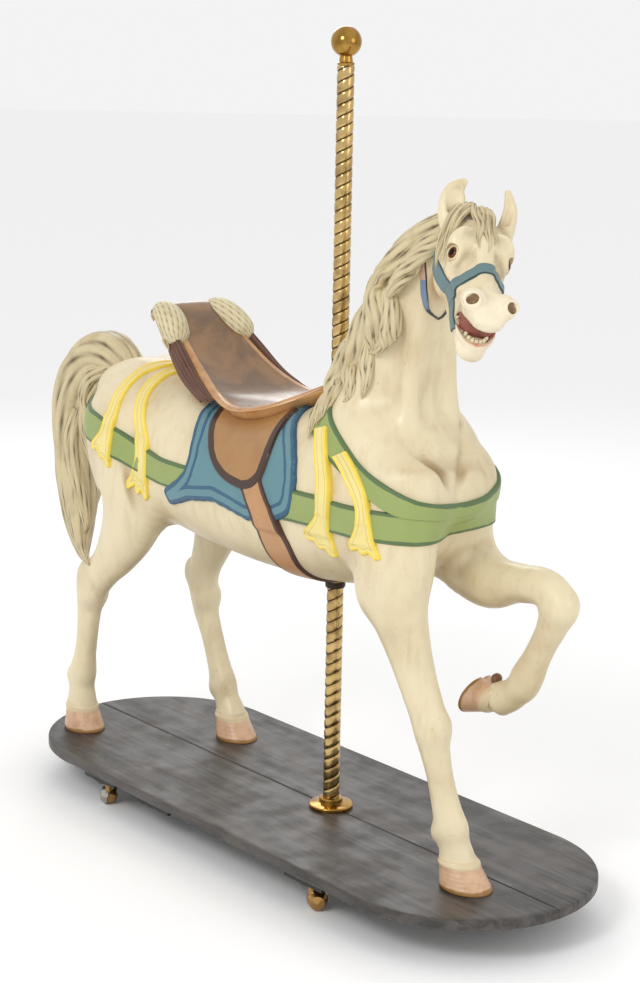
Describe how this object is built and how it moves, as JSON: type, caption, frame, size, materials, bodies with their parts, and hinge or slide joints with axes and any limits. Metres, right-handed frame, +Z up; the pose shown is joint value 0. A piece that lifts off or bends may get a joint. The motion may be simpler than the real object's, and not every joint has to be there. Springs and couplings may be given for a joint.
{
  "type": "carousel horse on rolling stand",
  "caption": "Carved carousel horse with saddle, blanket and breast strap, one foreleg raised, held by a twisted upright pole on a round-ended wheeled wooden deck.",
  "frame": {"origin": "on the floor, under the middle of the whole footprint", "axes": "+X the way the horse faces, +Y its left side, +Z up"},
  "size_m": [1.9608, 0.636, 2.017],
  "materials": {
    "ivory_paint": "aged cream paint over carved wood, satin",
    "hair_paint": "cream paint with brown wash in the grooves, satin",
    "saddle_paint": "tan brown paint, glossy",
    "blanket_paint": "blue paint with dark border, satin",
    "strap_paint": "green paint, gloss varnish",
    "ribbon_paint": "yellow paint, satin",
    "halter_paint": "blue-grey paint, satin",
    "girth_paint": "tan paint with dark edges, satin",
    "wing_paint": "dark brown paint, satin",
    "hoof_paint": "tan paint, satin",
    "mouth_paint": "red paint, satin",
    "teeth_paint": "off-white paint, gloss",
    "eye_glass": "polished brown glass",
    "pole_brass": "polished, lightly aged",
    "deck_wood": "dark stained boards, semi-gloss, scuffed",
    "cleat_wood": "black paint, satin",
    "caster_steel": "black, satin",
    "caster_brass": "plated, worn",
    "caster_nickel": "satin nickel plate, worn"
  },
  "bodies": {
    "stand": {"horse": "ivory_paint", "glass_eye_near": "eye_glass", "glass_eye_far": "eye_glass", "pole": "pole_brass", "pole_flange": "pole_brass", "belly_collar": "caster_steel", "finial": "pole_brass", "deck_plank_near": "deck_wood", "deck_plank_far": "deck_wood", "cleat_rear": "cleat_wood", "cleat_middle": "cleat_wood", "cleat_front": "cleat_wood", "caster_plate_rear_near": "caster_steel", "caster_plate_rear_far": "caster_steel", "caster_plate_front_near": "caster_steel", "caster_plate_front_far": "caster_steel"},
    "swivel_rear_near": {"caster_hood_rear_near": "caster_brass"},
    "roller_rear_near": {"caster_wheel_rear_near": "caster_nickel"},
    "swivel_rear_far": {"caster_hood_rear_far": "caster_brass"},
    "roller_rear_far": {"caster_wheel_rear_far": "caster_nickel"},
    "swivel_front_near": {"caster_hood_front_near": "caster_brass"},
    "roller_front_near": {"caster_wheel_front_near": "caster_nickel"},
    "swivel_front_far": {"caster_hood_front_far": "caster_brass"},
    "roller_front_far": {"caster_wheel_front_far": "caster_nickel"}
  },
  "joints": [
    {"name": "swivel_turn_rear_near", "type": "hinge", "parent": "stand", "child": "swivel_rear_near", "pos_m": [-0.40109, -0.272, 0.068], "axis": [0, 0, 1], "continuous": true},
    {"name": "wheel_roll_rear_near", "type": "hinge", "parent": "swivel_rear_near", "child": "roller_rear_near", "pos_m": [-0.41182, -0.263, 0.02558], "axis": [-0.6365, -0.7585, 0.1395], "continuous": true},
    {"name": "swivel_turn_rear_far", "type": "hinge", "parent": "stand", "child": "swivel_rear_far", "pos_m": [-0.40109, 0.272, 0.068], "axis": [0, 0, 1], "continuous": true},
    {"name": "wheel_roll_rear_far", "type": "hinge", "parent": "swivel_rear_far", "child": "roller_rear_far", "pos_m": [-0.41378, 0.26608, 0.02558], "axis": [-0.4185, 0.8974, 0.1395], "continuous": true},
    {"name": "swivel_turn_front_near", "type": "hinge", "parent": "stand", "child": "swivel_front_near", "pos_m": [0.44891, -0.272, 0.068], "axis": [0, 0, 1], "continuous": true},
    {"name": "wheel_roll_front_near", "type": "hinge", "parent": "swivel_front_near", "child": "roller_front_near", "pos_m": [0.45791, -0.26127, 0.02558], "axis": [-0.7585, 0.6365, 0.1395], "continuous": true},
    {"name": "swivel_turn_front_far", "type": "hinge", "parent": "stand", "child": "swivel_front_far", "pos_m": [0.44891, 0.272, 0.068], "axis": [0, 0, 1], "continuous": true},
    {"name": "wheel_roll_front_far", "type": "hinge", "parent": "swivel_front_far", "child": "roller_front_far", "pos_m": [0.43539, 0.27562, 0.02558], "axis": [0.2563, 0.9565, 0.1395], "continuous": true}
  ]
}
